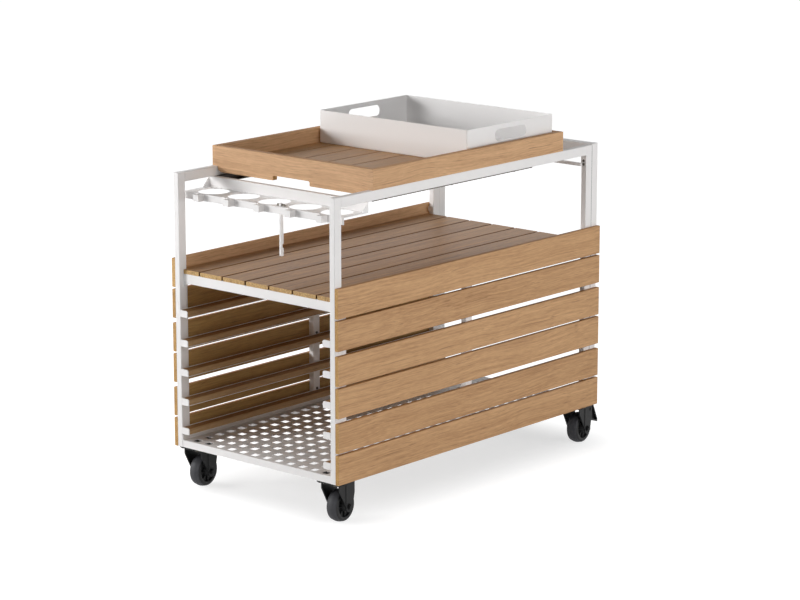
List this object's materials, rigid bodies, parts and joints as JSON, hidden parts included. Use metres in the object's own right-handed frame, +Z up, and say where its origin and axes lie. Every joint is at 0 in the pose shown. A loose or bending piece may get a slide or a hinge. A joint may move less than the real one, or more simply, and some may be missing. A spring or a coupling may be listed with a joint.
{
  "type": "outdoor bar cart",
  "caption": "Outdoor bar cart with a white tube frame, wood slat sides and deck, tray runners, perforated shelf, bottle rack, sliding wood tray and a lift-off box on swivel castors.",
  "frame": {"origin": "on the floor, under the middle of the whole cart", "axes": "+X from the open end with the bottle rack to the far portal, +Y from the front side to the back, +Z up"},
  "size_m": [1.3258, 0.681, 1.107],
  "materials": {
    "white_powder_coat": "satin",
    "slat_wood": "oiled",
    "deck_wood": "oiled",
    "runner_wood": "oiled",
    "black_steel": "satin",
    "black_plastic": "matt",
    "tyre_rubber": "matt",
    "dark_fixings": "brushed"
  },
  "bodies": {
    "frame": {"near_posts": "white_powder_coat", "mid_posts": "white_powder_coat", "far_posts": "white_powder_coat", "top_rails": "white_powder_coat", "deck_rails": "white_powder_coat", "base_rails": "white_powder_coat", "portal_posts": "white_powder_coat", "portal_beam": "white_powder_coat", "deck_crossbars": "white_powder_coat", "crossbar_gussets": "white_powder_coat", "end_strips": "white_powder_coat", "front_slat_1": "slat_wood", "front_slat_2": "slat_wood", "front_slat_3": "slat_wood", "front_slat_4": "slat_wood", "front_slat_5": "slat_wood", "front_slat_6": "slat_wood", "back_slat_1": "slat_wood", "back_slat_2": "slat_wood", "back_slat_3": "slat_wood", "back_slat_4": "slat_wood", "back_slat_5": "slat_wood", "back_slat_6": "slat_wood", "deck_boards": "deck_wood", "bottom_shelf": "white_powder_coat", "runners_front": "runner_wood", "runner_caps_front": "white_powder_coat", "runners_back": "runner_wood", "runner_caps_back": "white_powder_coat", "bottle_rack": "white_powder_coat", "opener_pin": "dark_fixings", "glide_bars": "white_powder_coat", "towel_bar": "white_powder_coat", "towel_bar_clips": "white_powder_coat", "portal_bushes": "white_powder_coat", "frame_screws": "dark_fixings", "castor_plates": "black_steel", "castor_bolts": "dark_fixings", "castor_pads": "black_plastic"},
    "opener": {"opener": "white_powder_coat"},
    "tray": {"tray_long_walls": "slat_wood", "tray_end_walls": "slat_wood", "tray_floor_boards": "deck_wood", "tray_battens": "runner_wood"},
    "box": {"drinks_box": "white_powder_coat"},
    "swivel_near_front": {"castor_fork_near_front": "black_steel"},
    "wheel_near_front": {"castor_hub_near_front": "black_plastic", "castor_tyre_near_front": "tyre_rubber"},
    "swivel_near_back": {"castor_fork_near_back": "black_steel"},
    "wheel_near_back": {"castor_hub_near_back": "black_plastic", "castor_tyre_near_back": "tyre_rubber"},
    "swivel_far_front": {"castor_fork_far_front": "black_steel"},
    "wheel_far_front": {"castor_hub_far_front": "black_plastic", "castor_tyre_far_front": "tyre_rubber"},
    "pedal_far_front": {"brake_pedal_far_front": "black_plastic"},
    "swivel_far_back": {"castor_fork_far_back": "black_steel"},
    "wheel_far_back": {"castor_hub_far_back": "black_plastic", "castor_tyre_far_back": "tyre_rubber"},
    "pedal_far_back": {"brake_pedal_far_back": "black_plastic"}
  },
  "joints": [
    {"name": "tray_slide", "type": "slide", "parent": "frame", "child": "tray", "axis": [1, 0, 0], "range_m": [-0.169, 0.15]},
    {"name": "box_lift", "type": "slide", "parent": "tray", "child": "box", "axis": [0, 0, 1], "range_m": [0, 0.12]},
    {"name": "opener_swing", "type": "hinge", "parent": "frame", "child": "opener", "pos_m": [-0.6039, -0.06275, 0.93], "axis": [0, 1, 0], "range_deg": [-35, 17]},
    {"name": "swivel_near_front_turn", "type": "hinge", "parent": "frame", "child": "swivel_near_front", "pos_m": [-0.6209, -0.2855, 0.126], "axis": [0, 0, 1], "continuous": true},
    {"name": "wheel_near_front_roll", "type": "hinge", "parent": "swivel_near_front", "child": "wheel_near_front", "pos_m": [-0.59305, -0.28257, 0.05], "axis": [-0.1045, 0.9945, 0], "continuous": true},
    {"name": "swivel_near_back_turn", "type": "hinge", "parent": "frame", "child": "swivel_near_back", "pos_m": [-0.6209, 0.2855, 0.126], "axis": [0, 0, 1], "continuous": true},
    {"name": "wheel_near_back_roll", "type": "hinge", "parent": "swivel_near_back", "child": "wheel_near_back", "pos_m": [-0.59305, 0.28843, 0.05], "axis": [-0.1045, 0.9945, 0], "continuous": true},
    {"name": "swivel_far_front_turn", "type": "hinge", "parent": "frame", "child": "swivel_far_front", "pos_m": [0.5401, -0.2855, 0.126], "axis": [0, 0, 1], "continuous": true},
    {"name": "wheel_far_front_roll", "type": "hinge", "parent": "swivel_far_front", "child": "wheel_far_front", "pos_m": [0.56795, -0.28257, 0.05], "axis": [-0.1045, 0.9945, 0], "continuous": true},
    {"name": "pedal_far_front_press", "type": "hinge", "parent": "swivel_far_front", "child": "pedal_far_front", "pos_m": [0.58585, -0.28069, 0.111], "axis": [-0.1045, 0.9945, 0], "range_deg": [0, 5]},
    {"name": "swivel_far_back_turn", "type": "hinge", "parent": "frame", "child": "swivel_far_back", "pos_m": [0.5401, 0.2855, 0.126], "axis": [0, 0, 1], "continuous": true},
    {"name": "wheel_far_back_roll", "type": "hinge", "parent": "swivel_far_back", "child": "wheel_far_back", "pos_m": [0.56795, 0.28843, 0.05], "axis": [-0.1045, 0.9945, 0], "continuous": true},
    {"name": "pedal_far_back_press", "type": "hinge", "parent": "swivel_far_back", "child": "pedal_far_back", "pos_m": [0.58585, 0.29031, 0.111], "axis": [-0.1045, 0.9945, 0], "range_deg": [0, 5]}
  ]
}
